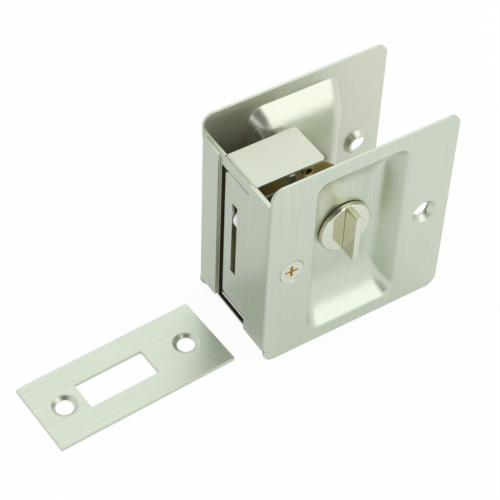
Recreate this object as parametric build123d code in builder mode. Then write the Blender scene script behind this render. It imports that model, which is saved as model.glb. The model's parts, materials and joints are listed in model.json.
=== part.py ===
from build123d import *
import os
from math import atan2, cos, degrees, hypot, radians, sin, sqrt, tan

# Adjustable pocket door privacy lock with a swinging hook bolt, and its strike plate lying beside it.
# The origin is on the door's edge, at the middle of the door's thickness and of the lock's height.
# +X runs into the door, -Y is the room side with the thumb-turn, +Z is up. Sizes are in millimetres.

os.makedirs("parts", exist_ok=True)

# Fits
moving_gap = 0.3
running_clearance = 0.05
pin_clearance = 0.02
side_play = 0.3

# Door and pull plates
door_thickness = 40.2
sheet = 1.0
plate_length = 74.0
plate_height = 82.5
plate_corner = 4.5
fold_inset = 0.3
fold_radius = 1.5
front_gap = 18.5
case_mid = 1.2
inside_flange_drop = 7.0
outside_flange_drop = 8.8
flange_rise = 5.7

# Drawn finger recess
recess_floor_width = 19.3
recess_height = 71.0
recess_offset = 0.75
recess_corner = 5.0
recess_floor_corner = 2.5
recess_side_slope = 61.0
recess_side_bend = 5.5
recess_end_slope = 48.0
recess_end_bend = 20.0
recess_lip = 1.5
lip_start = 0.05

# Pressed screw dimples
hole_offset = 0.533
hole_radius = 3.0
hole_land = 0.7
dimple_radius = 5.0
dimple_depth = 2.7
dimple_lip = 0.8

# Front frames and the U-shaped bracket
front_drop = 10.05
front_rise = 5.25
face_width = 21.6
face_near_border = 1.1
face_far_border = 2.6
face_thickness = 0.75
slide_thickness = 0.7
bracket_sheet = 0.95
bracket_bend = 1.6
tab_near_inset = 0.4
tab_far_overhang = 3.0
tab_reach = 30.0
tab_corner = 1.4
window_top_border = 2.75
window_bottom_border = 0.9

# Bolt case and its cover
case_sheet = 1.0
case_bend = 1.4
bolt_plate_top_gap = 0.2
bolt_plate_bottom_gap = 3.85
bolt_plate_near_gap = 0.3
bolt_plate_far_gap = 2.2
bolt_plate_chamfer = 1.6
slot_width = 2.9
slot_height = 32.4
wall_top_drop = 2.75
wall_shoulder = 27.5
wall_rear_reach = 10.0
wall_rear_height = 14.0
wall_corner = 4.0
lug_width = 5.6
lug_angle = 70.0
case_lug_x = 16.8

# Tube and spacers between the case walls
tube_x = 23.9
tube_drop = 0.25
tube_radius = 2.2
tube_bore = 1.2
spacer_radius = 2.2
tenon_radius = 1.5
upper_spacer_x = 7.5
lower_spacer_x = 24.0
rear_spacer_reach = 6.0
rear_spacer_drop = 8.0

# Hook bolt
hook_pivot_x = 13.0
hook_pivot_drop = 9.5
hook_radius = 18.8
hook_width = 10.0
hook_thickness = 2.4
hook_tip_angle = 111.0
hook_heel_angle = 64.0
hook_swing = 58.0
hook_boss = 5.0
tail_end = 2.6
pivot_radius = 2.0
collar_radius = 3.6
drive_pin_radius = 1.3
drive_pin_overhang = 0.4

# Turn: thumb-turn, spindle, hub and outside release
turn_travel = 90.0
turn_room = 2.2
turn_disc_radius = 10.25
turn_disc_thickness = 2.0
turn_disc_edge = 1.0
turn_stem_radius = 4.0
stem_end_gap = 0.4
fin_length = 20.0
fin_thickness = 2.4
fin_inset = 1.1
fin_corner = 1.2
fin_edge = 0.5
coin_slot_length = 12.0
coin_slot_width = 1.8
coin_slot_depth = 0.8
clip_groove_radius = 3.2
clip_radius = 6.0
clip_thickness = 0.7
clip_opening = 3.0
spindle_width = 4.0
socket_floor = 0.9
hub_radius = 4.6
journal_radius = 4.0
journal_overhang = 0.1
cam_width = 8.0
fork_root = 6.4
fork_throw = 7.8
fork_thickness = 2.2
fork_arm = 2.1
fork_end = 1.2

# Detent spring
spring_thickness = 0.4
spring_reach = 12.0
spring_post_reach = 6.5
spring_post_radius = 2.2

# Case screws and their posts
head_radius = 4.7
screw_radius = 1.95
screw_engagement = 8.0
cross_length = 5.0
cross_width = 1.1
cross_depth = 1.6
cross_taper = 0.6
post_radius = 4.0

# Strike plate
strike_length = 69.5
strike_width = 30.0
strike_thickness = 1.4
strike_x = -42.9
strike_y = -1.6
strike_turn = 3.0
strike_opening_length = 27.0
strike_opening_width = 11.5
strike_opening_shift = -3.9
strike_opening_corner = 0.8
strike_hole_spacing = 49.1
strike_hole_radius = 3.2
strike_sink_radius = 5.0
strike_sink_angle = 116.0

# Places that follow from the sizes above
half_outer = door_thickness / 2 + sheet
half_height = plate_height / 2
turn_x = plate_length / 2
fold_end = 2 * fold_radius
front_top = half_height - front_drop
front_bottom = front_rise - half_height
window_top = front_top - window_top_border
window_bottom = front_bottom + window_bottom_border
face_near_y = case_mid - face_width / 2
face_far_y = case_mid + face_width / 2
window_near_y = face_near_y + face_near_border
window_far_y = face_far_y - face_far_border
face_front = sheet
slide_front = face_front + face_thickness
bracket_front = slide_front + slide_thickness
tab_under = front_top - bracket_sheet
tab_over = front_bottom + bracket_sheet
near_outer = window_near_y + bolt_plate_near_gap
near_inner = near_outer + case_sheet
far_outer = window_far_y - bolt_plate_far_gap
far_inner = far_outer - case_sheet
tab_near_y = near_outer + tab_near_inset
tab_far_y = far_outer + tab_far_overhang
bolt_plate_top = window_top - bolt_plate_top_gap
bolt_plate_bottom = window_bottom + bolt_plate_bottom_gap
wall_start = face_front + case_sheet
wall_rear = turn_x + wall_rear_reach
wall_top = bolt_plate_top - wall_top_drop
wall_bottom = bolt_plate_bottom + wall_top_drop
tube_z = tab_under - tube_radius - tube_drop
recess_back = turn_room - near_outer
recess_floor = recess_back + sheet
recess_depth = half_outer - recess_floor
recess_x = turn_x - recess_offset
side_reach = recess_depth / tan(radians(recess_side_slope))
side_bend_reach = recess_side_bend * tan(radians(recess_side_slope / 2))
recess_width = recess_floor_width + 2 * (side_reach + side_bend_reach)
hole_inset = (plate_length - recess_width) / 4 + hole_offset
hole_places = [hole_inset, plate_length - hole_inset]
hook_pivot_z = -hook_pivot_drop
hook_near = case_mid - hook_thickness / 2
hook_far = case_mid + hook_thickness / 2
drive_line = degrees(atan2(-hook_pivot_z, turn_x - hook_pivot_x))
tail_length = hypot(turn_x - hook_pivot_x, hook_pivot_z) - fork_throw
tail_angle = drive_line - hook_swing / 2
fork_angle = drive_line + 180 + turn_travel / 2
fork_far = hook_near - moving_gap
fork_near = fork_far - fork_thickness
disc_back = recess_floor + moving_gap
disc_front = disc_back + turn_disc_thickness
clip_front = recess_back - moving_gap
cam_start = hook_far + moving_gap
spring_near = cam_start + side_play
spring_far = far_inner - side_play
spring_under = cam_width / 2 + running_clearance
spring_post_x = turn_x + spring_post_reach
spring_post_z = spring_under + spring_thickness + spring_post_radius + pin_clearance
post_seat = half_outer - dimple_depth
hook_top = hook_pivot_z + hook_radius + hook_width / 2
hook_foot = hook_pivot_z - hook_boss
spacer_places = {
    "upper_spacer": (upper_spacer_x, (hook_top + wall_top) / 2),
    "lower_spacer": (lower_spacer_x, (hook_foot + wall_bottom) / 2),
    "rear_spacer": (turn_x + rear_spacer_reach, -rear_spacer_drop),
}


def door_plane(y):
    """Plane across the door's thickness at y, with its own x along +X and its own y along +Z."""
    return Plane.XZ.offset(-y)


def plate_plane(side, depth):
    """Plane at a depth below the outer face of the pull plate on that side of the door."""
    return door_plane(side * (half_outer - depth))


def around_pivot(radius, angle):
    """Point in a door plane at a radius and an angle about the hook's pivot."""
    return (
        hook_pivot_x + radius * cos(radians(angle)),
        hook_pivot_z + radius * sin(radians(angle)),
    )


def around_turn(radius, angle):
    """Point in a door plane at a radius and an angle about the turn's axis."""
    return (turn_x + radius * cos(radians(angle)), radius * sin(radians(angle)))


def pin_in_fork(share):
    """Drive pin's place along and across the fork after a share of the turn's travel."""
    pin_x, pin_z = around_pivot(tail_length, tail_angle + share * hook_swing)
    angle = radians(fork_angle - share * turn_travel)
    along = (pin_x - turn_x) * cos(angle) + pin_z * sin(angle)
    across = pin_z * cos(angle) - (pin_x - turn_x) * sin(angle)
    return along, across


def rod(radius, y_from, y_to, place):
    """Round bar across the door's thickness, between two values of y."""
    with BuildPart() as bar:
        with BuildSketch(door_plane(y_to)):
            with Locations(place):
                Circle(radius)
        extrude(amount=y_to - y_from)
    return bar.part


# The pin's path in the fork sets the fork's length and play
path_steps = 12
pin_path = [pin_in_fork(step / path_steps) for step in range(path_steps + 1)]
fork_play = max(abs(across) for along, across in pin_path) + moving_gap
fork_slot = 2 * (drive_pin_radius + fork_play)
fork_reach = max(along for along, across in pin_path) + fork_end
fork_bottom = min(along for along, across in pin_path) - drive_pin_radius - moving_gap


# Inside and outside pull plates
lip_steps = 3
bend_steps = 8
lip_depths = [recess_lip * (step / lip_steps) ** 2 for step in range(lip_steps)]
bend_depths = [
    recess_lip + (recess_depth - recess_lip) * sin(radians(90 * step / bend_steps))
    for step in range(bend_steps + 1)
]


def drawn_inset(depth, slope, lip, bend):
    """Inset of a drawn wall from its mouth line: rounded lip, straight slope, wide bend to the floor."""
    angle = radians(slope)
    below = depth + lip_start
    floor = recess_depth + lip_start
    rise = floor - below
    if below < lip * (1 - cos(angle)):
        return sqrt(lip**2 - (lip - below) ** 2) - lip * tan(angle / 2)
    if rise < bend * (1 - cos(angle)):
        return floor / tan(angle) + bend * tan(angle / 2) - sqrt(bend**2 - (bend - rise) ** 2)
    return below / tan(angle)


def recess_outline(side, depth, grow):
    """Outline of the recess at a depth below the sheet's outer face, or with grow below its inner face."""
    lip = recess_lip - grow
    side_grow = grow * tan(radians(recess_side_slope / 2))
    end_grow = grow * tan(radians(recess_end_slope / 2))
    side_inset = drawn_inset(depth, recess_side_slope, lip, recess_side_bend + grow) - side_grow
    end_inset = drawn_inset(depth, recess_end_slope, lip, recess_end_bend + grow) - end_grow
    corner = recess_corner + grow + (recess_floor_corner - recess_corner) * depth / recess_depth
    with BuildSketch(plate_plane(side, depth + grow)) as outline:
        with Locations((recess_x, 0)):
            RectangleRounded(recess_width - 2 * side_inset, recess_height - 2 * end_inset, corner)
    return outline.sketch


def recess_form(side, grow):
    """Solid of the drawn recess, with a short plug up through the sheet's face."""
    sections = [recess_outline(side, depth, grow) for depth in lip_depths + bend_depths]
    with BuildPart() as form:
        loft(sections)
        extrude(sections[0], amount=sheet / 2, dir=(0, side, 0))
    return form.part


def dimple_form(side, x, mouth, end, depth):
    """Cone of a pressed screw dimple, from its mouth at the outer face to a depth."""
    with BuildPart() as form:
        with BuildSketch(plate_plane(side, 0)):
            with Locations((x, 0)):
                Circle(mouth)
        with BuildSketch(plate_plane(side, depth)):
            with Locations((x, 0)):
                Circle(end)
        loft()
    return form.part


def pull_plate(side, flange_drop):
    """Pressed pull plate: flat sheet, folded front flange, drawn recess and dimpled screw holes."""
    outer_y = side * half_outer
    inner_y = side * (half_outer - sheet)
    tip_y = case_mid + side * front_gap / 2
    flange_low = flange_rise - half_height
    flange_high = half_height - flange_drop
    flange_height = flange_high - flange_low
    with BuildPart() as plate:
        with BuildSketch(plate_plane(side, 0)):
            with Locations(((plate_length + fold_inset) / 2, 0)):
                RectangleRounded(plate_length - fold_inset, plate_height, plate_corner)
            with Locations((0, flange_low + flange_height / 2)):
                Rectangle(2 * fold_end, flange_height, mode=Mode.SUBTRACT)
        extrude(amount=side * sheet)
        with BuildSketch(Plane.XY.offset(flange_low)):
            with BuildLine():
                outer = FilletPolyline((fold_end, outer_y), (0, outer_y), (0, tip_y), radius=fold_radius)
                inner = FilletPolyline(
                    (sheet, tip_y), (sheet, inner_y), (fold_end, inner_y), radius=fold_radius - sheet
                )
                Line(outer @ 1, inner @ 0)
                Line(inner @ 1, outer @ 0)
            make_face()
        extrude(amount=flange_height)
        add(recess_form(side, sheet))
        for x in hole_places:
            add(dimple_form(side, x, dimple_radius + sheet, hole_radius + dimple_lip, dimple_depth))
        add(recess_form(side, 0), mode=Mode.SUBTRACT)
        for x in hole_places:
            cone = dimple_form(side, x, dimple_radius, hole_radius, dimple_depth - hole_land)
            add(cone, mode=Mode.SUBTRACT)
        with BuildSketch(plate_plane(side, 0)):
            with Locations(*[(x, 0) for x in hole_places]):
                Circle(hole_radius)
        extrude(amount=side * dimple_depth, mode=Mode.SUBTRACT)
        with BuildSketch(plate_plane(side, 0)):
            with Locations((turn_x, 0)):
                Circle(turn_stem_radius + 2 * running_clearance)
        extrude(amount=side * half_outer, mode=Mode.SUBTRACT)
    return plate.part


inside_pull_plate = pull_plate(-1, inside_flange_drop)
inside_pull_plate.label = "inside_pull_plate"
export_step(inside_pull_plate, "parts/inside_pull_plate.step")

outside_pull_plate = pull_plate(1, outside_flange_drop)
outside_pull_plate.label = "outside_pull_plate"
export_step(outside_pull_plate, "parts/outside_pull_plate.step")


# Face frame between the flanges, and the wide slide frame behind it
def front_frame(x_front, thickness, y_near, y_far):
    """Flat plate across the door's edge with the bolt window cut through it."""
    with BuildPart() as frame:
        with BuildSketch(Plane.YZ.offset(x_front)):
            with Locations(((y_near + y_far) / 2, (front_top + front_bottom) / 2)):
                Rectangle(y_far - y_near, front_top - front_bottom)
            with Locations(((window_near_y + window_far_y) / 2, (window_top + window_bottom) / 2)):
                Rectangle(window_far_y - window_near_y, window_top - window_bottom, mode=Mode.SUBTRACT)
        extrude(amount=thickness)
    return frame.part


face_frame = front_frame(face_front, face_thickness, face_near_y, face_far_y)
face_frame.label = "face_frame"
export_step(face_frame, "parts/face_frame.step")

slide_frame = front_frame(slide_front, slide_thickness, -door_thickness / 2, door_thickness / 2)
slide_frame.label = "slide_frame"
export_step(slide_frame, "parts/slide_frame.step")

# U-shaped case bracket: front wall with the window, broad tabs bent back above and below
with BuildPart() as case_bracket:
    with BuildSketch(door_plane(tab_far_y)):
        with BuildLine():
            outer = FilletPolyline(
                (tab_reach, front_top),
                (bracket_front, front_top),
                (bracket_front, front_bottom),
                (tab_reach, front_bottom),
                radius=bracket_bend,
            )
            inner = FilletPolyline(
                (tab_reach, tab_over),
                (bracket_front + bracket_sheet, tab_over),
                (bracket_front + bracket_sheet, tab_under),
                (tab_reach, tab_under),
                radius=bracket_bend - bracket_sheet,
            )
            Line(outer @ 1, inner @ 0)
            Line(inner @ 1, outer @ 0)
        make_face()
    extrude(amount=tab_far_y - tab_near_y)
    rear_edges = case_bracket.edges().filter_by(Axis.Z).group_by(Axis.X)[-1]
    fillet(rear_edges, tab_corner)
    with BuildSketch(Plane.YZ.offset(bracket_front)):
        with Locations((0, (front_top + front_bottom) / 2)):
            Rectangle(door_thickness, front_top - front_bottom)
        with Locations(((tab_near_y + tab_far_y) / 2, (front_top + front_bottom) / 2)):
            Rectangle(tab_far_y - tab_near_y, front_top - front_bottom, mode=Mode.SUBTRACT)
    extrude(amount=bracket_sheet)
    with BuildSketch(Plane.YZ.offset(bracket_front)):
        with Locations(((window_near_y + window_far_y) / 2, (window_top + window_bottom) / 2)):
            Rectangle(window_far_y - window_near_y, window_top - window_bottom)
    extrude(amount=bracket_bend, mode=Mode.SUBTRACT)
case_bracket.part.label = "case_bracket"
export_step(case_bracket.part, "parts/case_bracket.step")


# Bolt case and its cover, the two side walls of the mechanism
def wall_sketch(y_far, lug_x):
    """Side wall outline with its lugs to the bracket's tabs, and the holes that both walls share."""
    with BuildSketch(door_plane(y_far)) as outline:
        with BuildLine():
            Polyline(
                (wall_start, wall_bottom),
                (wall_shoulder, wall_bottom),
                (wall_rear, -wall_rear_height / 2),
                (wall_rear, wall_rear_height / 2),
                (wall_shoulder, wall_top),
                (wall_start, wall_top),
                close=True,
            )
        make_face()
        fillet(outline.vertices().group_by(Axis.X)[-1], wall_corner)
        for edge_z, tab_z in ((wall_top, tab_under), (wall_bottom, tab_over)):
            with Locations((lug_x, (edge_z + tab_z) / 2)):
                Trapezoid(lug_width, abs(tab_z - edge_z), lug_angle, rotation=0 if tab_z > edge_z else 180)
        with Locations((turn_x, 0)):
            Circle(journal_radius + running_clearance, mode=Mode.SUBTRACT)
        with Locations((hook_pivot_x, hook_pivot_z)):
            Circle(pivot_radius + pin_clearance, mode=Mode.SUBTRACT)
        with Locations(*spacer_places.values(), (spring_post_x, spring_post_z)):
            Circle(tenon_radius + pin_clearance, mode=Mode.SUBTRACT)
    return outline.sketch


near_wall = wall_sketch(near_inner, case_lug_x)
with BuildPart() as bolt_case:
    with BuildSketch(Plane.XY.offset(bolt_plate_bottom)):
        with BuildLine():
            outer = FilletPolyline(
                (face_front, far_outer),
                (face_front, near_outer),
                (wall_start + case_bend, near_outer),
                radius=case_bend,
            )
            inner = FilletPolyline(
                (wall_start + case_bend, near_inner),
                (wall_start, near_inner),
                (wall_start, far_outer),
                radius=case_bend - case_sheet,
            )
            Line(outer @ 1, inner @ 0)
            Line(inner @ 1, outer @ 0)
        make_face()
    extrude(amount=bolt_plate_top - bolt_plate_bottom)
    extrude(near_wall, amount=case_sheet, dir=(0, -1, 0))
    with BuildSketch(Plane.YZ.offset(face_front)):
        with Locations((case_mid, 0)):
            Rectangle(slot_width, slot_height)
    extrude(amount=case_sheet, mode=Mode.SUBTRACT)
    free_corners = bolt_case.edges().filter_by(Axis.X).group_by(Axis.Y)[-1]
    chamfer(free_corners, bolt_plate_chamfer)
bolt_case.part.label = "bolt_case"
export_step(bolt_case.part, "parts/bolt_case.step")

far_wall = wall_sketch(far_outer, tube_x)
with BuildPart() as case_cover:
    extrude(far_wall, amount=case_sheet, dir=(0, -1, 0))
case_cover.part.label = "case_cover"
export_step(case_cover.part, "parts/case_cover.step")

# Tube riveted to the cover under the top tab
with BuildPart() as anchor_tube:
    with BuildSketch(door_plane(far_inner)):
        with Locations((tube_x, tube_z)):
            Circle(tube_radius)
            Circle(tube_bore, mode=Mode.SUBTRACT)
    extrude(amount=far_inner - near_inner)
anchor_tube.part.label = "anchor_tube"
export_step(anchor_tube.part, "parts/anchor_tube.step")


# Spacers with riveted tenons that join the two walls
def wall_spacer(place, radius):
    """Shouldered bar between the case walls, with a tenon through each wall."""
    with BuildPart() as bar:
        add(rod(radius, near_inner, far_inner, place))
        add(rod(tenon_radius, near_outer, far_outer, place))
    return bar.part


for name, place in spacer_places.items():
    spacer = wall_spacer(place, spacer_radius)
    spacer.label = name
    export_step(spacer, f"parts/{name}.step")

# Hook bolt with its tail and drive pin
rim_radius = hook_radius + hook_width / 2
throat_radius = hook_radius - hook_width / 2
hook_span = hook_tip_angle - hook_heel_angle
tip_x, tip_z = around_pivot(hook_radius, hook_tip_angle)
nose_point = (
    tip_x - hook_width / 2 * sin(radians(hook_tip_angle)),
    tip_z + hook_width / 2 * cos(radians(hook_tip_angle)),
)
with BuildPart() as hook_bolt:
    with BuildSketch(door_plane(hook_far)):
        with BuildLine():
            rim = CenterArc((hook_pivot_x, hook_pivot_z), rim_radius, hook_heel_angle, hook_span)
            throat = CenterArc((hook_pivot_x, hook_pivot_z), throat_radius, hook_heel_angle, hook_span)
            ThreePointArc(rim @ 1, nose_point, throat @ 1)
            Line(throat @ 0, rim @ 0)
        make_face()
        with Locations(around_pivot(hook_radius / 2, hook_heel_angle)):
            SlotCenterToCenter(hook_radius, hook_width, rotation=hook_heel_angle)
        with Locations(around_pivot(tail_length / 2, tail_angle)):
            SlotCenterToCenter(tail_length, 2 * tail_end, rotation=tail_angle)
        with Locations((hook_pivot_x, hook_pivot_z)):
            Circle(hook_boss)
            Circle(pivot_radius + running_clearance, mode=Mode.SUBTRACT)
        with Locations(around_pivot(tail_length, tail_angle)):
            Circle(drive_pin_radius + pin_clearance, mode=Mode.SUBTRACT)
    extrude(amount=hook_thickness)
hook_bolt.part.label = "hook_bolt"
export_step(hook_bolt.part, "parts/hook_bolt.step")

drive_pin = rod(
    drive_pin_radius, fork_near - drive_pin_overhang, hook_far, around_pivot(tail_length, tail_angle)
)
drive_pin.label = "drive_pin"
export_step(drive_pin, "parts/drive_pin.step")

# Fixed pivot of the hook, with a collar on each side
hook_pivot = rod(pivot_radius, near_outer, far_outer, (hook_pivot_x, hook_pivot_z))
hook_pivot.label = "hook_pivot"
export_step(hook_pivot, "parts/hook_pivot.step")


def pivot_collar(y_from, y_to):
    """Collar on the hook's pivot between a case wall and the hook."""
    with BuildPart() as collar:
        with BuildSketch(door_plane(y_to)):
            with Locations((hook_pivot_x, hook_pivot_z)):
                Circle(collar_radius)
                Circle(pivot_radius + pin_clearance, mode=Mode.SUBTRACT)
        extrude(amount=y_to - y_from)
    return collar.part


near_collar = pivot_collar(near_inner, hook_near - running_clearance)
near_collar.label = "near_pivot_collar"
export_step(near_collar, "parts/near_pivot_collar.step")

far_collar = pivot_collar(hook_far + running_clearance, far_inner)
far_collar.label = "far_pivot_collar"
export_step(far_collar, "parts/far_pivot_collar.step")

# Turn hub: barrel, fork for the drive pin, square detent cam and two journals
with BuildPart() as turn_hub:
    add(rod(hub_radius, near_inner + side_play, cam_start, (turn_x, 0)))
    add(rod(journal_radius, near_outer - journal_overhang, far_outer + journal_overhang, (turn_x, 0)))
    with BuildSketch(door_plane(far_inner - side_play)):
        with Locations((turn_x, 0)):
            Rectangle(cam_width, cam_width)
            Circle(hub_radius, mode=Mode.INTERSECT)
    extrude(amount=far_inner - side_play - cam_start)
    with BuildSketch(door_plane(fork_far)):
        with Locations((turn_x, 0)):
            Circle(fork_root)
        with Locations(around_turn(fork_reach / 2, fork_angle)):
            Rectangle(fork_reach, fork_slot + 2 * fork_arm, rotation=fork_angle)
        with Locations(around_turn(fork_bottom + fork_reach / 2, fork_angle)):
            Rectangle(fork_reach, fork_slot, rotation=fork_angle, mode=Mode.SUBTRACT)
    extrude(amount=fork_thickness)
    with BuildSketch(door_plane(far_outer + journal_overhang)):
        with Locations((turn_x, 0)):
            Rectangle(spindle_width + 2 * pin_clearance, spindle_width + 2 * pin_clearance)
    extrude(amount=2 * half_outer, mode=Mode.SUBTRACT)
turn_hub.part.label = "turn_hub"
export_step(turn_hub.part, "parts/turn_hub.step")


# Thumb-turn and outside release, alike up to the disc
def turn_disc(side):
    """Disc and stem of a turn in the recess floor, with a clip groove and a square blind socket."""
    wall_y = near_outer if side < 0 else far_outer
    stem_end = abs(wall_y) + stem_end_gap
    with BuildPart() as turn:
        with BuildSketch(door_plane(side * disc_front)):
            with Locations((turn_x, 0)):
                Circle(turn_disc_radius)
        extrude(amount=side * turn_disc_thickness)
        front_face = turn.faces().filter_by(Axis.Y).sort_by(Axis.Y, reverse=side > 0)[0]
        fillet(front_face.edges(), turn_disc_edge)
        with BuildSketch(door_plane(side * disc_back)):
            with Locations((turn_x, 0)):
                Circle(turn_stem_radius)
        extrude(amount=side * (disc_back - stem_end))
        with BuildSketch(door_plane(side * clip_front)):
            with Locations((turn_x, 0)):
                Circle(turn_stem_radius)
                Circle(clip_groove_radius, mode=Mode.SUBTRACT)
        extrude(amount=side * clip_thickness, mode=Mode.SUBTRACT)
        with BuildSketch(door_plane(side * (disc_front - socket_floor))):
            with Locations((turn_x, 0)):
                Rectangle(spindle_width + 2 * pin_clearance, spindle_width + 2 * pin_clearance)
        extrude(amount=side * half_outer, mode=Mode.SUBTRACT)
    return turn.part


# The fin's root goes part of the way into the disc, so that its rounded edges run down to the disc's face
inside_disc = turn_disc(-1)
fin_front = fin_inset - half_outer
fin_root = socket_floor / 2 - disc_front
with BuildPart() as thumb_turn:
    with BuildSketch(Plane.YZ.offset(turn_x - fin_thickness / 2)) as fin:
        with Locations(((fin_front + fin_root) / 2, 0)):
            Rectangle(fin_root - fin_front, fin_length)
        fillet(fin.vertices().group_by(Axis.Y)[0], fin_corner)
    extrude(amount=fin_thickness)
    fin_top = thumb_turn.faces().filter_by(Axis.Y).sort_by(Axis.Y)[0]
    fillet(fin_top.edges().filter_by(Axis.Z), fin_edge)
    add(inside_disc)
thumb_turn.part.label = "thumb_turn"
export_step(thumb_turn.part, "parts/thumb_turn.step")

outside_disc = turn_disc(1)
with BuildPart() as release_disc:
    add(outside_disc)
    with BuildSketch(door_plane(disc_front)):
        with Locations((turn_x, 0)):
            SlotOverall(coin_slot_length, coin_slot_width, rotation=90)
    extrude(amount=coin_slot_depth, mode=Mode.SUBTRACT)
release_disc.part.label = "release_disc"
export_step(release_disc.part, "parts/release_disc.step")

# Square spindle through the hub, from one blind socket to the other
spindle_end = disc_front - socket_floor - running_clearance
with BuildPart() as turn_spindle:
    with BuildSketch(door_plane(spindle_end)):
        with Locations((turn_x, 0)):
            Rectangle(spindle_width, spindle_width)
    extrude(amount=2 * spindle_end)
turn_spindle.part.label = "turn_spindle"
export_step(turn_spindle.part, "parts/turn_spindle.step")


# Retaining clips behind the recess floors
def retaining_clip(side):
    """Open spring ring in the stem's groove."""
    with BuildPart() as clip:
        with BuildSketch(door_plane(side * (clip_front - pin_clearance))):
            with Locations((turn_x, 0)):
                Circle(clip_radius)
                Circle(clip_groove_radius + pin_clearance, mode=Mode.SUBTRACT)
            with Locations((turn_x, -clip_radius)):
                Rectangle(clip_opening, 2 * clip_radius, mode=Mode.SUBTRACT)
        extrude(amount=side * (clip_thickness - 2 * pin_clearance))
    return clip.part


for name, side in (("inside_retaining_clip", -1), ("outside_retaining_clip", 1)):
    clip = retaining_clip(side)
    clip.label = name
    export_step(clip, f"parts/{name}.step")

# Detent leaf spring on the hub's cam, with its eye round a post
spring_post = wall_spacer((spring_post_x, spring_post_z), spring_post_radius)
spring_post.label = "spring_post"
export_step(spring_post, "parts/spring_post.step")

eye_radius = spring_post_radius + pin_clearance
with BuildPart() as detent_spring:
    with BuildSketch(door_plane(spring_far)):
        with Locations((spring_post_x, spring_post_z)):
            Circle(eye_radius + spring_thickness)
        with Locations((spring_post_x - spring_reach / 2, spring_under + spring_thickness / 2)):
            Rectangle(spring_reach, spring_thickness)
        with Locations((spring_post_x, spring_post_z)):
            Circle(eye_radius, mode=Mode.SUBTRACT)
    extrude(amount=spring_far - spring_near)
detent_spring.part.label = "detent_spring"
export_step(detent_spring.part, "parts/detent_spring.step")


# Case screws and the threaded posts that they draw up
def case_screw(side):
    """Countersunk screw with a cross recess, seated in a dimple of the pull plate."""
    sunk = dimple_radius - head_radius - pin_clearance
    head_taper = dimple_depth - pin_clearance - sunk
    post_end = near_outer if side < 0 else far_outer
    shank = post_seat - abs(post_end) - running_clearance
    with BuildPart() as screw:
        with BuildSketch(plate_plane(side, sunk)):
            with Locations((hole_places[0], 0)):
                Circle(head_radius)
        with BuildSketch(plate_plane(side, sunk + head_taper)):
            with Locations((hole_places[0], 0)):
                Circle(head_radius - head_taper)
        loft()
        with BuildSketch(plate_plane(side, sunk + head_taper)):
            with Locations((hole_places[0], 0)):
                Circle(screw_radius)
        extrude(amount=side * min(screw_engagement, shank))
        for across, along in ((cross_length, cross_width), (cross_width, cross_length)):
            with BuildSketch(plate_plane(side, sunk)):
                with Locations((hole_places[0], 0)):
                    Rectangle(across, along)
            with BuildSketch(plate_plane(side, sunk + cross_depth)):
                with Locations((hole_places[0], 0)):
                    Rectangle(across - cross_taper, along - cross_taper)
            loft(mode=Mode.SUBTRACT)
    return screw.part


def screw_post(side):
    """Tapped post between the pull plate's dimple and the case wall."""
    wall_y = near_outer if side < 0 else far_outer
    with BuildPart() as post:
        with BuildSketch(door_plane(side * post_seat)):
            with Locations((hole_places[0], 0)):
                Circle(post_radius)
                Circle(screw_radius + pin_clearance, mode=Mode.SUBTRACT)
        extrude(amount=side * (post_seat - abs(wall_y)))
    return post.part


for name, side in (("inside", -1), ("outside", 1)):
    screw = case_screw(side)
    screw.label = f"{name}_case_screw"
    export_step(screw, f"parts/{name}_case_screw.step")
    post = screw_post(side)
    post.label = f"{name}_screw_post"
    export_step(post, f"parts/{name}_screw_post.step")

# Strike plate, lying flat on the surface that the lock stands on
strike_plane = Plane(
    (strike_x, strike_y, -half_height),
    x_dir=(cos(radians(strike_turn)), sin(radians(strike_turn)), 0),
    z_dir=(0, 0, 1),
)
with BuildPart(strike_plane) as strike_plate:
    with BuildSketch(strike_plane):
        Rectangle(strike_length, strike_width)
        with Locations((strike_opening_shift, 0)):
            RectangleRounded(
                strike_opening_length, strike_opening_width, strike_opening_corner, mode=Mode.SUBTRACT
            )
    extrude(amount=strike_thickness)
    with Locations(
        (-strike_hole_spacing / 2, 0, strike_thickness), (strike_hole_spacing / 2, 0, strike_thickness)
    ):
        CounterSinkHole(strike_hole_radius, strike_sink_radius, counter_sink_angle=strike_sink_angle)
strike_plate.part.label = "strike_plate"
export_step(strike_plate.part, "parts/strike_plate.step")
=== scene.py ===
"""Looks of a pocket door lock: pull plates, slide-out case, hook bolt, turn and strike plate."""

import json
import math
from functools import partial

import bmesh
import bpy
from bpy.props import FloatProperty, FloatVectorProperty, PointerProperty
from mathutils import Matrix, Vector


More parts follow.
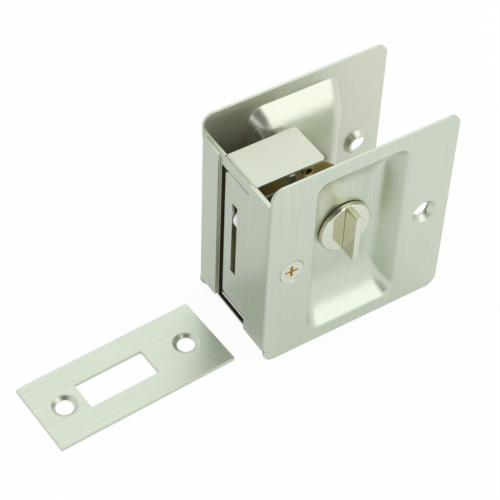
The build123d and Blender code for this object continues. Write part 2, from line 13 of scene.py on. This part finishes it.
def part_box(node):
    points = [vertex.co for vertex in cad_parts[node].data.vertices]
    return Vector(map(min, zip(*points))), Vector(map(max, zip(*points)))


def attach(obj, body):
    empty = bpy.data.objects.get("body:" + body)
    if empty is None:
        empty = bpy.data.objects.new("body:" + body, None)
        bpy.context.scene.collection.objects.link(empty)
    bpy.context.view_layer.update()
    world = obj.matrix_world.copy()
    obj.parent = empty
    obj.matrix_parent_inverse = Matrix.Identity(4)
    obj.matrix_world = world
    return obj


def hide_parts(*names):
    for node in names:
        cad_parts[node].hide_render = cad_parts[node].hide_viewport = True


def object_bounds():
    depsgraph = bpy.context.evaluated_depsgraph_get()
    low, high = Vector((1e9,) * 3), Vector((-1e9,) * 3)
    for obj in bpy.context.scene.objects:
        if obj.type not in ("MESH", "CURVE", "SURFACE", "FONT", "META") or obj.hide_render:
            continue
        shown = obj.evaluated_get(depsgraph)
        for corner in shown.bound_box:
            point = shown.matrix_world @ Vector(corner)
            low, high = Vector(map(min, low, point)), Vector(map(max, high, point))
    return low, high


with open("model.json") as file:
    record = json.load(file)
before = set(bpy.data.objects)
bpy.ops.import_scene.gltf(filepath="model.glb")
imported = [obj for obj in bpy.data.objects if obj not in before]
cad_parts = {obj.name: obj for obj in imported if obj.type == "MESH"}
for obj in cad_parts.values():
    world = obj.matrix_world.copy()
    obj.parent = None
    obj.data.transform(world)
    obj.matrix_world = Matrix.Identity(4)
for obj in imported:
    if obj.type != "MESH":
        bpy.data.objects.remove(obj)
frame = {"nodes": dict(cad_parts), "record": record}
cad_bounds = [list(corner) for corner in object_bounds()]

bl_info = {
    "name": "Pocket Door Lock",
    "version": (1, 0, 0),
    "blender": (4, 5, 0),
    "location": "View3D > Sidebar > Door Lock",
    "description": "Finishes the pieces of a pocket door lock and sets up its studio",
    "category": "Object",
}

MM = 0.001

# Easing of edges. The shortest edge to be eased is counted in widths of the easing.
MERGE_DISTANCE = 0.002 * MM
FLAT_ANGLE = math.radians(0.2)
SHARP_ANGLE = math.radians(40.0)
SMOOTH_ANGLE = math.radians(45.0)
EASED_STEPS = 2
SHORTEST_EASED = 4.0
EASE_ALL = 0.0

# Places on the pieces. WINDOW_FACING parts the window's edges from the flat faces round it.
FLANGE_DEPTH = 2.0 * MM
WINDOW_SIDE = 9.8 * MM
WINDOW_END = 36.0 * MM
WINDOW_FACING = 1.0 * MM
DISC_FACE = -13.7 * MM
FIN_FOOT = DISC_FACE - 0.2 * MM
RIM_WIDTH = 0.2 * MM
CROSS_TOP = 0.15 * MM
CROSS_FLOOR = 1.9 * MM
CROSS_REACH = 2.7 * MM
FLOOR_LEVEL = cad_bounds[0][2]

# Parts of a face's normal that tell which way the face is turned
TURNED_IN = 0.08
FLANGE_BACK = 0.9
FLANGE_FRONT = 0.6
TURN_SIDE = 0.5

# Finishes. Each layer of streaks has a scale and the share of it along the streak.
STRIKE_TURN = math.radians(3.0)
UPRIGHT = (0.0, 0.0, 0.0)
ALONG_STRIKE = (
    Matrix.Rotation(math.pi / 2, 3, "Y") @ Matrix.Rotation(-STRIKE_TURN, 3, "Z")
).to_euler()
SATIN_ROUGHNESS = 0.34
FRONT_ROUGHNESS = 0.36
# The share below darkens the satin colour of the front pieces and the flanges' fronts: painted
# shade, for the shadowed floor that they mirror
FRONT_SHADE_SHARE = 0.84
STREAK_LAYERS = ((5200.0, 0.006), (2100.0, 0.01))
STREAK_DETAIL = 3.0
STREAK_MIDDLE = 0.5
STREAK_DARK = 0.93
STREAK_LIGHT = 1.06
STREAK_ROUGHNESS = 0.06
STREAK_BUMP = 0.1
STREAK_DEPTH = 0.05 * MM
CLOUD_SCALE = 45.0
CLOUD_DETAIL = 2.0
CLOUD_ROUGHNESS = 0.25

# Sockets of a Mix node that mixes colours
MIX_MASK, MIX_FIRST, MIX_SECOND = 0, 6, 7
MIX_COLOUR = 2

# Studio
FLOOR_SIZE = 6.0
FLOOR_ROUGHNESS = 0.9
LAMP_AIM = (0.0, 0.0, 0.0)
KEY_PLACE = (0.5, -0.8, 0.9)
KEY_SIZE = 1.1
BACK_PLACE = (0.45, 0.65, 0.85)
BACK_SIZE = 0.9
CARD_GAP = 0.06
CARD_SIDES = 48
CARD_COLOUR = (0.03, 0.028, 0.022)
CARD_ROUGHNESS = 1.0
WORLD_COLOUR = (1.0, 1.0, 1.0, 1.0)
SENSOR_WIDTH = 36.0
CLIP_START = 0.01


class LockFinish(bpy.types.PropertyGroup):
    """Sizes and colours of the lock's finishes."""

    edge_break: FloatProperty(
        name="Edge break",
        description="Width of the eased edge on the sheet pieces, the hook and the screws",
        default=0.16 * MM,
        min=0.02 * MM,
        precision=5,
        unit="LENGTH",
    )
    fine_edge: FloatProperty(
        name="Fine edge",
        description="Width of the eased edge on the release disc and the anchor tube",
        default=0.1 * MM,
        min=0.02 * MM,
        precision=5,
        unit="LENGTH",
    )
    turn_edge: FloatProperty(
        name="Turn edge",
        description="Width of the rounded edges of the turn",
        default=0.35 * MM,
        min=0.02 * MM,
        precision=5,
        unit="LENGTH",
    )
    satin_colour: FloatVectorProperty(
        name="Satin nickel",
        description="Colour of the brushed nickel sheet",
        default=(0.65, 0.715, 0.6),
        subtype="COLOR",
        min=0.0,
        max=1.0,
    )
    plain_colour: FloatVectorProperty(
        name="Plain nickel",
        description="Colour of the unbrushed plating of the bracket and behind the pull plates",
        default=(0.685, 0.725, 0.605),
        subtype="COLOR",
        min=0.0,
        max=1.0,
    )
    polished_colour: FloatVectorProperty(
        name="Polished nickel",
        description="Colour of the polished turn, release disc and screws",
        default=(0.72, 0.755, 0.64),
        subtype="COLOR",
        min=0.0,
        max=1.0,
    )
    # Warmer colour painted on the turn's fin sides and disc rim as their warm reflections
    side_reflection_colour: FloatVectorProperty(
        name="Polished sides",
        description="Warmer colour of the turn's fin sides and disc rim",
        default=(0.66, 0.62, 0.46),
        subtype="COLOR",
        min=0.0,
        max=1.0,
    )
    # Dark colour painted as shade: in the window's gap, round the screw heads and along the foot
    # of the turn's fin
    gap_shade_colour: FloatVectorProperty(
        name="Cut edges and joints",
        description="Dull colour of the window's edges, screw rims and the foot of the turn's fin",
        default=(0.1, 0.085, 0.05),
        subtype="COLOR",
        min=0.0,
        max=1.0,
    )
    brass_colour: FloatVectorProperty(
        name="Bare brass",
        description="Colour of the driving cross and of the anchor tube",
        default=(0.74, 0.56, 0.22),
        subtype="COLOR",
        min=0.0,
        max=1.0,
    )
    bright_colour: FloatVectorProperty(
        name="Bright steel",
        description="Colour of the hook bolt and pins",
        default=(0.78, 0.78, 0.76),
        subtype="COLOR",
        min=0.0,
        max=1.0,
    )
    zinc_colour: FloatVectorProperty(
        name="Zinc plated steel",
        description="Colour of the inner case parts",
        default=(0.5, 0.38, 0.12),
        subtype="COLOR",
        min=0.0,
        max=1.0,
    )
    spring_colour: FloatVectorProperty(
        name="Spring steel",
        description="Colour of the clips and the detent spring",
        default=(0.3, 0.29, 0.28),
        subtype="COLOR",
        min=0.0,
        max=1.0,
    )


class LockStage(bpy.types.PropertyGroup):
    """Camera, lamps and floor of the studio."""

    camera_place: FloatVectorProperty(
        name="Camera place",
        description="Where the camera stands",
        default=(-0.21386, -0.32263, 0.40926),
        subtype="TRANSLATION",
    )
    camera_azimuth: FloatProperty(
        name="Azimuth",
        description="Direction that the camera looks from, about the upright axis",
        default=math.radians(-34.4),
        subtype="ANGLE",
    )
    camera_elevation: FloatProperty(
        name="Elevation",
        description="How far the camera looks down",
        default=math.radians(46.79),
        subtype="ANGLE",
    )
    camera_roll: FloatProperty(
        name="Roll",
        description="Turn of the picture about the line of sight",
        default=math.radians(2.6),
        subtype="ANGLE",
    )
    lens: FloatProperty(
        name="Lens",
        description="Focal length on a 36 mm sensor",
        default=121.17,
        unit="CAMERA",
    )
    floor_colour: FloatVectorProperty(
        name="Floor",
        description="Colour of the floor",
        default=(0.93, 0.93, 0.93),
        subtype="COLOR",
        min=0.0,
        max=1.0,
    )
    floor_glow: FloatProperty(
        name="Floor glow",
        description="Share of plain white in the floor that the camera sees",
        default=0.93,
        min=0.0,
        max=1.0,
    )
    mirror_glow: FloatProperty(
        name="Mirrored glow",
        description="Share of plain white in the floor that the metal mirrors",
        default=0.3,
        min=0.0,
        max=1.0,
    )
    world_strength: FloatProperty(
        name="Surroundings",
        description="Strength of the soft white surroundings",
        default=0.88,
        min=0.0,
        max=1.0,
    )
    card_radius: FloatProperty(
        name="Dark card",
        description="Radius of the dark opening behind the camera",
        default=0.34,
        unit="LENGTH",
    )
    key_power: FloatProperty(
        name="Key lamp",
        description="Power of the large soft lamp in front",
        default=2.4,
        unit="POWER",
    )
    back_power: FloatProperty(
        name="Back lamp",
        description="Power of the wide soft lamp behind",
        default=0.65,
        unit="POWER",
    )


# Selection and mesh helpers


def deselect_all():
    """Leave edit mode and deselect everything."""
    if bpy.context.mode != "OBJECT":
        bpy.ops.object.mode_set(mode="OBJECT")
    bpy.ops.object.select_all(action="DESELECT")


def make_active(piece):
    """Select one piece alone and make it the active object."""
    deselect_all()
    piece.select_set(True)
    bpy.context.view_layer.objects.active = piece


def apply_modifiers(piece):
    """Apply every modifier of a piece, in order."""
    make_active(piece)
    for modifier in list(piece.modifiers):
        bpy.ops.object.modifier_apply(modifier=modifier.name)


def weigh_edges(mesh, shortest):
    """Mark the selected outward edges that are long enough to be eased."""
    shape = bmesh.new()
    shape.from_mesh(mesh)
    weight = shape.edges.layers.float.new("bevel_weight_edge")
    for edge in shape.edges:
        if edge.select and edge.is_convex and edge.calc_length() > shortest:
            edge[weight] = 1.0
    shape.to_mesh(mesh)
    shape.free()


def cut_across(piece, level):
    """Split the faces of a piece at a level across the door's thickness."""
    make_active(piece)
    bpy.ops.object.mode_set(mode="EDIT")
    bpy.ops.mesh.select_all(action="SELECT")
    bpy.ops.mesh.bisect(plane_co=(0.0, level, 0.0), plane_no=(0.0, 1.0, 0.0))
    bpy.ops.object.mode_set(mode="OBJECT")


def body_of_node(node):
    """Name of the moving body that carries a CAD piece."""
    for body, members in frame["record"]["behaviour"]["bodies"].items():
        if node in members:
            return body
    raise ValueError(f"no body carries {node}")


def slot_of_node(node):
    """Finish slot that the record gives a CAD piece."""
    return frame["nodes"][node].material_slots[0].material.name


def eased_copy(node, edge_width, shortest_share=SHORTEST_EASED):
    """Copy of a CAD piece with eased edges and smooth curves, standing for that piece."""
    source = frame["nodes"][node]
    piece = bpy.data.objects.new(f"{node}_eased", source.data.copy())
    bpy.context.scene.collection.objects.link(piece)
    piece.data.materials.clear()
    make_active(piece)
    bpy.ops.mesh.customdata_custom_splitnormals_clear()
    bpy.ops.object.mode_set(mode="EDIT")
    bpy.ops.mesh.select_all(action="SELECT")
    bpy.ops.mesh.remove_doubles(threshold=MERGE_DISTANCE)
    bpy.ops.mesh.dissolve_limited(angle_limit=FLAT_ANGLE)
    bpy.ops.mesh.select_all(action="DESELECT")
    bpy.ops.mesh.select_mode(type="EDGE")
    bpy.ops.mesh.edges_select_sharp(sharpness=SHARP_ANGLE)
    bpy.ops.object.mode_set(mode="OBJECT")
    weigh_edges(piece.data, shortest_share * edge_width)
    bevel = piece.modifiers.new("edge_break", "BEVEL")
    bevel.width = edge_width
    bevel.segments = EASED_STEPS
    bevel.limit_method = "WEIGHT"
    bevel.use_clamp_overlap = False
    apply_modifiers(piece)
    bpy.ops.object.shade_smooth_by_angle(angle=SMOOTH_ANGLE)
    weighted = piece.modifiers.new("flat_faces", "WEIGHTED_NORMAL")
    weighted.keep_sharp = True
    apply_modifiers(piece)
    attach(piece, body_of_node(node))
    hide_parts(node)
    return piece


# Painting, and the tests that choose faces


def paint(piece, material):
    """Give a piece one material all over."""
    piece.data.materials.clear()
    piece.data.materials.append(material)


def paint_where(piece, material, chosen):
    """Give the faces that a test chooses a material of their own."""
    piece.data.materials.append(material)
    index = len(piece.data.materials) - 1
    for face in piece.data.polygons:
        if chosen(face):
            face.material_index = index


def paint_node(node, material):
    """Give a CAD piece one material in each of its slots."""
    for material_slot in frame["nodes"][node].material_slots:
        material_slot.material = material


def is_door_side(face, outward):
    """Face of a pull plate turned away from the room, or the back of its flange."""
    turned_in = face.normal.y * outward < -TURNED_IN
    behind_flange = face.normal.x > FLANGE_BACK and face.center.x < FLANGE_DEPTH
    return turned_in or behind_flange


def is_flange_front(face):
    """Face of a pull plate's flange turned to the door's edge."""
    return face.normal.x < -FLANGE_FRONT and face.center.x < FLANGE_DEPTH


def is_window_edge(face):
    """Cut edge of the window in the face or slide frame, which faces the window's middle."""
    in_window = abs(face.center.y) < WINDOW_SIDE and abs(face.center.z) < WINDOW_END
    outward = face.normal.y * face.center.y + face.normal.z * face.center.z
    return in_window and outward < -WINDOW_FACING


def is_turn_side(face):
    """Side or end of the turn's fin, or rim of its disc."""
    return abs(face.normal.y) < TURN_SIDE


def is_fin_joint(face):
    """Narrow band along the foot of the turn's fin, where it meets the disc."""
    return is_turn_side(face) and FIN_FOOT < face.center.y < DISC_FACE


def screw_head(node):
    """Middle of a screw, level of its head's face and radius of the head."""
    low, high = (Vector(corner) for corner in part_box(node))
    middle = (low + high) / 2
    level = low.y if middle.y < 0.0 else high.y
    return middle, level, (high.x - low.x) / 2


def off_axis(face, middle):
    """Distance of a face from a screw's axis."""
    return math.hypot(face.center.x - middle.x, face.center.z - middle.z)


def is_cross(face, middle, level):
    """Face of the driving cross sunk into a screw's head."""
    sunk = abs(face.center.y - level)
    return CROSS_TOP < sunk < CROSS_FLOOR and off_axis(face, middle) < CROSS_REACH


def is_head_rim(face, middle, radius):
    """Face of the eased rim round a screw's head."""
    return radius - off_axis(face, middle) < RIM_WIDTH


# Shader helpers


def linked_math(tree, operation, first, second):
    """Output of a Math node over two outputs."""
    node = tree.nodes.new("ShaderNodeMath")
    node.operation = operation
    tree.links.new(first, node.inputs[0])
    tree.links.new(second, node.inputs[1])
    return node.outputs[0]


def noise(tree, vector, scale, detail):
    """Output of a noise texture over a vector."""
    texture = tree.nodes.new("ShaderNodeTexNoise")
    texture.inputs["Scale"].default_value = scale
    texture.inputs["Detail"].default_value = detail
    tree.links.new(vector, texture.inputs["Vector"])
    return texture.outputs["Fac"]


def brushed_lines_group():
    """Shader group with fine long streaks along the vector's own z, and a slow cloud."""
    name = "brushed_lines"
    if name in bpy.data.node_groups:
        return bpy.data.node_groups[name]
    group = bpy.data.node_groups.new(name, "ShaderNodeTree")
    group.interface.new_socket("Vector", in_out="INPUT", socket_type="NodeSocketVector")
    for output in ("Streak", "Cloud"):
        group.interface.new_socket(output, in_out="OUTPUT", socket_type="NodeSocketFloat")
    vector = group.nodes.new("NodeGroupInput").outputs["Vector"]
    leave = group.nodes.new("NodeGroupOutput")
    layers = []
    for scale, stretch in STREAK_LAYERS:
        squeeze = group.nodes.new("ShaderNodeVectorMath")
        squeeze.operation = "MULTIPLY"
        squeeze.inputs[1].default_value = (scale, scale, scale * stretch)
        group.links.new(vector, squeeze.inputs[0])
        layers.append(noise(group, squeeze.outputs[0], scale=1.0, detail=STREAK_DETAIL))
    centre = group.nodes.new("ShaderNodeMath")
    centre.operation = "SUBTRACT"
    centre.inputs[1].default_value = STREAK_MIDDLE
    group.links.new(linked_math(group, "ADD", *layers), centre.inputs[0])
    group.links.new(centre.outputs[0], leave.inputs["Streak"])
    group.links.new(noise(group, vector, CLOUD_SCALE, CLOUD_DETAIL), leave.inputs["Cloud"])
    return group


def lines_over(tree, vector):
    """Node of the brushed lines group over a vector."""
    lines = tree.nodes.new("ShaderNodeGroup")
    lines.node_tree = brushed_lines_group()
    tree.links.new(vector, lines.inputs["Vector"])
    return lines


def ranged(tree, value, low, high):
    """Output that maps a value from 0..1 to low..high."""
    span = tree.nodes.new("ShaderNodeMapRange")
    span.inputs["To Min"].default_value = low
    span.inputs["To Max"].default_value = high
    tree.links.new(value, span.inputs["Value"])
    return span.outputs["Result"]


def shaded(colour, share):
    """Colour times a share."""
    return tuple(channel * share for channel in colour)


def mottled(tree, mask, colour, low, high):
    """Output with a colour times low to high, by a mask."""
    mix = tree.nodes.new("ShaderNodeMix")
    mix.data_type = "RGBA"
    mix.inputs[MIX_FIRST].default_value = (*shaded(colour, low), 1.0)
    mix.inputs[MIX_SECOND].default_value = (*shaded(colour, high), 1.0)
    tree.links.new(mask, mix.inputs[MIX_MASK])
    return mix.outputs[MIX_COLOUR]


# Materials


def metal(name, metallic=1.0):
    """New metallic material. Plating that scatters light is less than fully metallic."""
    material = bpy.data.materials.new(name)
    material.use_nodes = True
    shader = material.node_tree.nodes["Principled BSDF"]
    shader.inputs["Metallic"].default_value = metallic
    return material, material.node_tree, shader


def brushed_metal(name, colour, turn, roughness):
    """Brushed sheet: streaks along z after the given turn, in colour, roughness and bump."""
    material, tree, shader = metal(name)
    place = tree.nodes.new("ShaderNodeTexCoord")
    mapping = tree.nodes.new("ShaderNodeMapping")
    mapping.inputs["Rotation"].default_value = turn
    tree.links.new(place.outputs["Object"], mapping.inputs["Vector"])
    streak = lines_over(tree, mapping.outputs["Vector"]).outputs["Streak"]
    tint = mottled(tree, streak, colour, STREAK_DARK, STREAK_LIGHT)
    tree.links.new(tint, shader.inputs["Base Color"])
    rough = ranged(tree, streak, roughness + STREAK_ROUGHNESS, roughness - STREAK_ROUGHNESS)
    tree.links.new(rough, shader.inputs["Roughness"])
    bump = tree.nodes.new("ShaderNodeBump")
    bump.inputs["Strength"].default_value = STREAK_BUMP
    bump.inputs["Distance"].default_value = STREAK_DEPTH
    tree.links.new(streak, bump.inputs["Height"])
    tree.links.new(bump.outputs["Normal"], shader.inputs["Normal"])
    return material


def smooth_metal(name, colour, roughness, cloud_share, metallic=1.0):
    """Polished or plated metal: a faint cloud in colour and roughness, with no grain."""
    material, tree, shader = metal(name, metallic)
    place = tree.nodes.new("ShaderNodeTexCoord")
    cloud = lines_over(tree, place.outputs["Object"]).outputs["Cloud"]
    tint = mottled(tree, cloud, colour, 1.0 - cloud_share, 1.0 + cloud_share)
    tree.links.new(tint, shader.inputs["Base Color"])
    smoothest = roughness * (1.0 - CLOUD_ROUGHNESS)
    roughest = roughness * (1.0 + CLOUD_ROUGHNESS)
    tree.links.new(ranged(tree, cloud, smoothest, roughest), shader.inputs["Roughness"])
    return material


def gap_shade_metal(finish):
    """Dark metal painted as shade on the window's cut edges, the screw rims and the fin's foot,
    made once and shared.
    """
    name = "painted_gap_shade"
    made = bpy.data.materials.get(name)
    return made or smooth_metal(name, finish.gap_shade_colour, roughness=0.5, cloud_share=0.1)


def matt_material(name, colour, roughness):
    """New matt material for the studio."""
    material = bpy.data.materials.new(name)
    material.use_nodes = True
    shader = material.node_tree.nodes["Principled BSDF"]
    shader.inputs["Base Color"].default_value = (*colour, 1.0)
    shader.inputs["Roughness"].default_value = roughness
    shader.inputs["Specular IOR Level"].default_value = 0.0
    return material, material.node_tree, shader


# Studio


def seen_share(tree, camera_share, mirror_share):
    """One share for what the camera sees directly, another for what metal or glass shows it."""
    path = tree.nodes.new("ShaderNodeLightPath").outputs
    mirrored = linked_math(tree, "MAXIMUM", path["Is Glossy Ray"], path["Is Transmission Ray"])
    direct = ranged(tree, path["Is Camera Ray"], 0.0, camera_share)
    return linked_math(tree, "MAXIMUM", direct, ranged(tree, mirrored, 0.0, mirror_share))


def lay_floor(stage):
    """Wide pale floor that looks white and keeps a soft shadow."""
    deselect_all()
    bpy.ops.mesh.primitive_plane_add(size=FLOOR_SIZE, location=(0.0, 0.0, FLOOR_LEVEL))
    floor = bpy.context.object
    floor.name = "studio_floor"
    material, tree, shader = matt_material("studio_floor", stage.floor_colour, FLOOR_ROUGHNESS)
    glow = tree.nodes.new("ShaderNodeEmission")
    blend = tree.nodes.new("ShaderNodeMixShader")
    tree.links.new(seen_share(tree, stage.floor_glow, stage.mirror_glow), blend.inputs[0])
    tree.links.new(shader.outputs[0], blend.inputs[1])
    tree.links.new(glow.outputs[0], blend.inputs[2])
    tree.links.new(blend.outputs[0], tree.nodes["Material Output"].inputs["Surface"])
    paint(floor, material)


def hang_lamp(name, place, size, power):
    """Square soft lamp at a place, turned to the lock."""
    lamp = bpy.data.lights.new(name, "AREA")
    lamp.size = size
    lamp.energy = power
    holder = bpy.data.objects.new(name, lamp)
    bpy.context.scene.collection.objects.link(holder)
    holder.location = place
    sight = Vector(LAMP_AIM) - Vector(place)
    holder.rotation_euler = sight.to_track_quat("-Z", "Y").to_euler()


def camera_axes(stage):
    """Camera's own right, up and back directions."""
    azimuth, elevation, roll = stage.camera_azimuth, stage.camera_elevation, stage.camera_roll
    back = Vector(
        (
            math.sin(azimuth) * math.cos(elevation),
            -math.cos(azimuth) * math.cos(elevation),
            math.sin(elevation),
        )
    )
    right = Vector((math.cos(azimuth), math.sin(azimuth), 0.0))
    up = back.cross(right)
    turned_right = right * math.cos(roll) + up * math.sin(roll)
    turned_up = up * math.cos(roll) - right * math.sin(roll)
    return turned_right, turned_up, back


def stand_dark_card(stage):
    """Dark opening of the studio behind the camera, seen only in the metal."""
    back = camera_axes(stage)[2]
    deselect_all()
    bpy.ops.mesh.primitive_circle_add(
        vertices=CARD_SIDES,
        radius=stage.card_radius,
        fill_type="NGON",
        location=Vector(stage.camera_place) + back * CARD_GAP,
        rotation=back.to_track_quat("Z", "Y").to_euler(),
    )
    card = bpy.context.object
    card.name = "studio_dark_card"
    paint(card, matt_material("studio_dark_card", CARD_COLOUR, CARD_ROUGHNESS)[0])
    card.visible_camera = False
    card.visible_diffuse = False
    card.visible_shadow = False


def light_world(scene, stage):
    """Soft white surroundings on every side."""
    world = bpy.data.worlds.new("studio_world")
    scene.world = world
    world.use_nodes = True
    background = world.node_tree.nodes["Background"]
    background.inputs["Color"].default_value = WORLD_COLOUR
    background.inputs["Strength"].default_value = stage.world_strength


def place_camera(scene, stage):
    """Camera at the photograph's place and angle."""
    camera = bpy.data.cameras.new("camera")
    camera.sensor_width = SENSOR_WIDTH
    camera.lens = stage.lens
    camera.clip_start = CLIP_START
    holder = bpy.data.objects.new("camera", camera)
    scene.collection.objects.link(holder)
    axes = Matrix(camera_axes(stage)).transposed()
    holder.matrix_world = Matrix.Translation(stage.camera_place) @ axes.to_4x4()
    scene.camera = holder


# Operators


class LOCK_OT_pull_plates(bpy.types.Operator):
    """Finish the two pressed pull plates in upright brushed nickel"""

    bl_idname = "lock.pull_plates"
    bl_label = "Pull plates"

    def execute(self, context):
        finish = context.scene.lock_finish
        # Satin colour darkened as painted shade for the flanges' fronts
        shaded_front_colour = shaded(finish.satin_colour, FRONT_SHADE_SHARE)
        satin = brushed_metal(
            "satin_nickel_plates", finish.satin_colour, UPRIGHT, SATIN_ROUGHNESS
        )
        plain = smooth_metal(
            "plain_nickel_backs",
            finish.plain_colour,
            roughness=0.28,
            cloud_share=0.03,
            metallic=0.8,
        )
        front = brushed_metal("satin_nickel_flanges_shaded", shaded_front_colour, UPRIGHT, SATIN_ROUGHNESS)
        for node, outward in (("inside_pull_plate", -1.0), ("outside_pull_plate", 1.0)):
            piece = eased_copy(node, finish.edge_break)
            paint(piece, satin)
            paint_where(piece, plain, partial(is_door_side, outward=outward))
            paint_where(piece, front, is_flange_front)
        return {"FINISHED"}


class LOCK_OT_front_case(bpy.types.Operator):
    """Finish the face frame, slide frame, bracket and bolt case"""

    bl_idname = "lock.front_case"
    bl_label = "Front and case"

    def execute(self, context):
        finish = context.scene.lock_finish
        # Satin colour darkened as painted shade for the front pieces
        shaded_front_colour = shaded(finish.satin_colour, FRONT_SHADE_SHARE)
        upright = brushed_metal("satin_nickel_front_shaded", shaded_front_colour, UPRIGHT, FRONT_ROUGHNESS)
        for node in ("face_frame", "slide_frame"):
            piece = eased_copy(node, finish.edge_break)
            paint(piece, upright)
            # The window's cut edges get painted shade, a dark colour for the gap's shadow
            paint_where(piece, gap_shade_metal(finish), is_window_edge)
        paint(eased_copy("bolt_case", finish.edge_break), upright)
        matt = smooth_metal(
            "matt_nickel_bracket", finish.plain_colour, roughness=0.42, cloud_share=0.02
        )
        paint(eased_copy("case_bracket", finish.edge_break), matt)
        return {"FINISHED"}


class LOCK_OT_strike_plate(bpy.types.Operator):
    """Finish the loose strike plate in nickel brushed along its length"""

    bl_idname = "lock.strike_plate"
    bl_label = "Strike plate"

    def execute(self, context):
        finish = context.scene.lock_finish
        satin = brushed_metal(
            "satin_nickel_strike", finish.satin_colour, ALONG_STRIKE, SATIN_ROUGHNESS
        )
        paint(eased_copy("strike_plate", finish.edge_break), satin)
        return {"FINISHED"}


class LOCK_OT_turn(bpy.types.Operator):
    """Finish the polished thumb-turn, the release disc and the case screws"""

    bl_idname = "lock.turn"
    bl_label = "Turn and screws"

    def execute(self, context):
        finish = context.scene.lock_finish
        polished = smooth_metal(
            "polished_nickel_turn", finish.polished_colour, roughness=0.06, cloud_share=0.03
        )
        warm_reflection = smooth_metal(
            "polished_nickel_fin_painted_reflection", finish.side_reflection_colour, roughness=0.06, cloud_share=0.03
        )
        # Dark material for painted shade in the gaps of the turn and the screws
        gap_shade = gap_shade_metal(finish)
        bare = smooth_metal(
            "bare_brass_cross",
            finish.brass_colour,
            roughness=0.35,
            cloud_share=0.15,
            metallic=0.5,
        )
        turn = eased_copy("thumb_turn", finish.turn_edge, EASE_ALL)
        cut_across(turn, FIN_FOOT)
        paint(turn, polished)
        # The turn's sides and rim get a warmer colour, a painted reflection
        paint_where(turn, warm_reflection, is_turn_side)
        # Painted shade along the foot of the fin, where it meets the disc
        paint_where(turn, gap_shade, is_fin_joint)
        paint(eased_copy("release_disc", finish.fine_edge), polished)
        for node in ("inside_case_screw", "outside_case_screw"):
            middle, level, radius = screw_head(node)
            screw = eased_copy(node, finish.edge_break, EASE_ALL)
            paint(screw, polished)
            paint_where(screw, bare, partial(is_cross, middle=middle, level=level))
            # Painted shade on the rim round each screw head
            paint_where(screw, gap_shade, partial(is_head_rim, middle=middle, radius=radius))
        return {"FINISHED"}


class LOCK_OT_works(bpy.types.Operator):
    """Finish the hook bolt and the works inside the case"""

    bl_idname = "lock.works"
    bl_label = "Hook and works"

    def execute(self, context):
        finish = context.scene.lock_finish
        bright = smooth_metal(
            "bright_steel_works", finish.bright_colour, roughness=0.22, cloud_share=0.05
        )
        zinc = smooth_metal(
            "zinc_steel_works",
            finish.zinc_colour,
            roughness=0.45,
            cloud_share=0.1,
            metallic=0.2,
        )
        spring = smooth_metal(
            "spring_steel_works", finish.spring_colour, roughness=0.3, cloud_share=0.1
        )
        brass = smooth_metal(
            "bare_brass_tube", finish.brass_colour, roughness=0.35, cloud_share=0.12
        )
        paint(eased_copy("hook_bolt", finish.edge_break), bright)
        paint(eased_copy("anchor_tube", finish.fine_edge), brass)
        finishes = {"bright_steel": bright, "zinc_steel": zinc, "spring_steel": spring}
        for node, item in frame["nodes"].items():
            slot = slot_of_node(node)
            if slot in finishes and not item.hide_render:
                paint_node(node, finishes[slot])
        return {"FINISHED"}


class LOCK_OT_stage(bpy.types.Operator):
    """Lay the floor and set the lamps, the dark card, the world and the camera"""

    bl_idname = "lock.stage"
    bl_label = "Studio"

    def execute(self, context):
        stage = context.scene.lock_stage
        lay_floor(stage)
        hang_lamp("key_lamp", KEY_PLACE, KEY_SIZE, stage.key_power)
        hang_lamp("back_lamp", BACK_PLACE, BACK_SIZE, stage.back_power)
        stand_dark_card(stage)
        light_world(context.scene, stage)
        place_camera(context.scene, stage)
        context.scene.view_settings.view_transform = "Standard"
        return {"FINISHED"}


class LOCK_PT_panel(bpy.types.Panel):
    """Finishes and studio of the lock"""

    bl_idname = "LOCK_PT_panel"
    bl_label = "Door Lock"
    bl_space_type = "VIEW_3D"
    bl_region_type = "UI"
    bl_category = "Door Lock"

    def draw(self, context):
        for group in (context.scene.lock_finish, context.scene.lock_stage):
            box = self.layout.box()
            for name in group.__annotations__:
                box.prop(group, name)
        for operator in OPERATORS:
            self.layout.operator(operator.bl_idname)


OPERATORS = (
    LOCK_OT_pull_plates,
    LOCK_OT_front_case,
    LOCK_OT_strike_plate,
    LOCK_OT_turn,
    LOCK_OT_works,
    LOCK_OT_stage,
)
CLASSES = (LockFinish, LockStage, *OPERATORS, LOCK_PT_panel)


def register():
    """Register the classes and hang the properties on the scene."""
    for item in CLASSES:
        bpy.utils.register_class(item)
    bpy.types.Scene.lock_finish = PointerProperty(type=LockFinish)
    bpy.types.Scene.lock_stage = PointerProperty(type=LockStage)


def unregister():
    """Take the properties and classes away again."""
    del bpy.types.Scene.lock_stage
    del bpy.types.Scene.lock_finish
    for item in reversed(CLASSES):
        bpy.utils.unregister_class(item)


def main():
    """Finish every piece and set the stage."""
    register()
    bpy.ops.lock.pull_plates()
    bpy.ops.lock.front_case()
    bpy.ops.lock.strike_plate()
    bpy.ops.lock.turn()
    bpy.ops.lock.works()
    bpy.ops.lock.stage()


if __name__ == "__main__":
    main()
